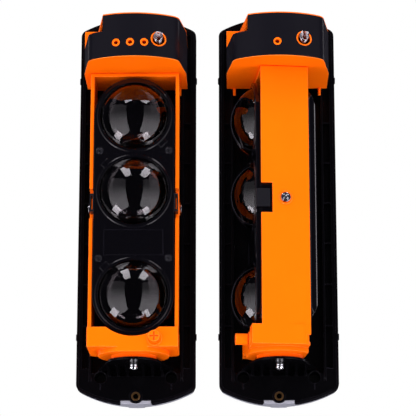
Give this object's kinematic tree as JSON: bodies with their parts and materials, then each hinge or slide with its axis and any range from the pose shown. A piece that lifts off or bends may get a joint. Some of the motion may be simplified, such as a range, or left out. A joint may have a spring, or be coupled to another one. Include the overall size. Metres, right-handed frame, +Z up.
{
  "type": "gate safety photocell",
  "caption": "Wall-mounted infrared beam receiver and transmitter with covers off, each with three lenses in an orange swing frame that pans and tilts.",
  "frame": {"origin": "in the wall plane, at the centre of the rectangle of four wall screws, midway between the two units", "axes": "+Z up, +X from the receiver to the transmitter, +Y into the wall; the units face -Y"},
  "size_m": [0.1682, 0.0972, 0.2584],
  "materials": {
    "plate_grey": "fine moulded texture, light grey",
    "base_black": "fine spark-eroded texture, black",
    "insert_brass": "turned",
    "head_orange": "semi-gloss, orange",
    "fascia_black": "satin, black",
    "board_green": "solder-masked board",
    "lamp_amber": "tinted lamp",
    "switch_black": "satin",
    "plunger_orange": "semi-gloss, orange",
    "spring_steel": "bright spring wire",
    "frame_orange": "semi-gloss, orange",
    "screw_chrome": "bright plated",
    "optics_black": "fine satin, black",
    "lens_clear": "clear moulded lens",
    "screw_black": "blackened",
    "sight_black": "satin, black",
    "sensor_black": "dark infrared window",
    "knob_orange": "semi-gloss, orange",
    "shaft_steel": "drawn",
    "board_black": "black solder-masked board"
  },
  "bodies": {
    "wall_units": {"receiver_wall_plate": "plate_grey", "receiver_base": "base_black", "receiver_cover_insert": "insert_brass", "receiver_head_housing": "head_orange", "receiver_head_legs": "head_orange", "receiver_head_fascia": "fascia_black", "receiver_head_board": "board_green", "receiver_indicator_lamps": "lamp_amber", "receiver_tamper_switch": "switch_black", "transmitter_wall_plate": "plate_grey", "transmitter_base": "base_black", "transmitter_cover_insert": "insert_brass", "transmitter_head_housing": "head_orange", "transmitter_head_legs": "head_orange", "transmitter_head_fascia": "fascia_black", "transmitter_head_board": "board_green", "transmitter_indicator_lamp": "lamp_amber", "transmitter_tamper_switch": "switch_black"},
    "receiver_pan_frame": {"receiver_swing_frame": "frame_orange", "receiver_pan_screw": "screw_chrome", "receiver_pan_washer": "screw_chrome"},
    "receiver_lens_unit": {"receiver_lens_box": "optics_black", "receiver_lens_panel": "optics_black", "receiver_lens_upper": "lens_clear", "receiver_lens_middle": "lens_clear", "receiver_lens_lower": "lens_clear", "receiver_panel_screws": "screw_black", "receiver_sight_windows": "sight_black", "receiver_optics_board": "board_black", "receiver_photodiodes": "sensor_black", "receiver_tilt_screws": "screw_chrome"},
    "receiver_knob": {"receiver_tilt_knob": "knob_orange", "receiver_tilt_shaft": "shaft_steel"},
    "receiver_tamper": {"receiver_tamper_plunger": "plunger_orange", "receiver_tamper_spring": "spring_steel"},
    "transmitter_pan_frame": {"transmitter_swing_frame": "frame_orange", "transmitter_pan_screw": "screw_chrome", "transmitter_pan_washer": "screw_chrome"},
    "transmitter_lens_unit": {"transmitter_lens_box": "optics_black", "transmitter_lens_panel": "optics_black", "transmitter_lens_upper": "lens_clear", "transmitter_lens_middle": "lens_clear", "transmitter_lens_lower": "lens_clear", "transmitter_panel_screws": "screw_black", "transmitter_sight_windows": "sight_black", "transmitter_optics_board": "board_black", "transmitter_infrared_emitters": "sensor_black", "transmitter_tilt_screws": "screw_chrome"},
    "transmitter_knob": {"transmitter_tilt_knob": "knob_orange", "transmitter_tilt_shaft": "shaft_steel"},
    "transmitter_tamper": {"transmitter_tamper_plunger": "plunger_orange", "transmitter_tamper_spring": "spring_steel"}
  },
  "joints": [
    {"name": "receiver_pan", "type": "hinge", "parent": "wall_units", "child": "receiver_pan_frame", "pos_m": [-0.0455, -0.0455, 0], "axis": [0, 0, 1], "range_deg": [-90, 90]},
    {"name": "receiver_tilt", "type": "hinge", "parent": "receiver_pan_frame", "child": "receiver_lens_unit", "pos_m": [-0.0455, -0.0445, -0.0085], "axis": [1, 0, 0], "range_deg": [-10, 10]},
    {"name": "receiver_tilt_knob_turn", "type": "hinge", "parent": "receiver_pan_frame", "child": "receiver_knob", "pos_m": [-0.03185, -0.0705, -0.0957], "axis": [0, -1, 0], "range_deg": [-720, 720]},
    {"name": "receiver_tamper_press", "type": "slide", "parent": "wall_units", "child": "receiver_tamper", "axis": [0, 1, 0], "range_m": [0, 0.0025], "stiffness_N_per_m": 300, "springref_m": -0.001},
    {"name": "transmitter_pan", "type": "hinge", "parent": "wall_units", "child": "transmitter_pan_frame", "pos_m": [0.0455, -0.0455, 0], "axis": [0, 0, 1], "range_deg": [-6, 174]},
    {"name": "transmitter_tilt", "type": "hinge", "parent": "transmitter_pan_frame", "child": "transmitter_lens_unit", "pos_m": [0.0465, -0.04539, -0.0085], "axis": [0.1045, -0.9945, 0], "range_deg": [-10, 10]},
    {"name": "transmitter_tilt_knob_turn", "type": "hinge", "parent": "transmitter_pan_frame", "child": "transmitter_knob", "pos_m": [0.02206, -0.06169, -0.0957], "axis": [-0.9945, -0.1045, 0], "range_deg": [-720, 720]},
    {"name": "transmitter_tamper_press", "type": "slide", "parent": "wall_units", "child": "transmitter_tamper", "axis": [0, 1, 0], "range_m": [0, 0.0025], "stiffness_N_per_m": 300, "springref_m": -0.001}
  ],
  "couplings": [
    {"joint": "receiver_tilt_knob_turn", "follows": "receiver_tilt", "ratio": 72},
    {"joint": "transmitter_tilt_knob_turn", "follows": "transmitter_tilt", "ratio": 72}
  ]
}
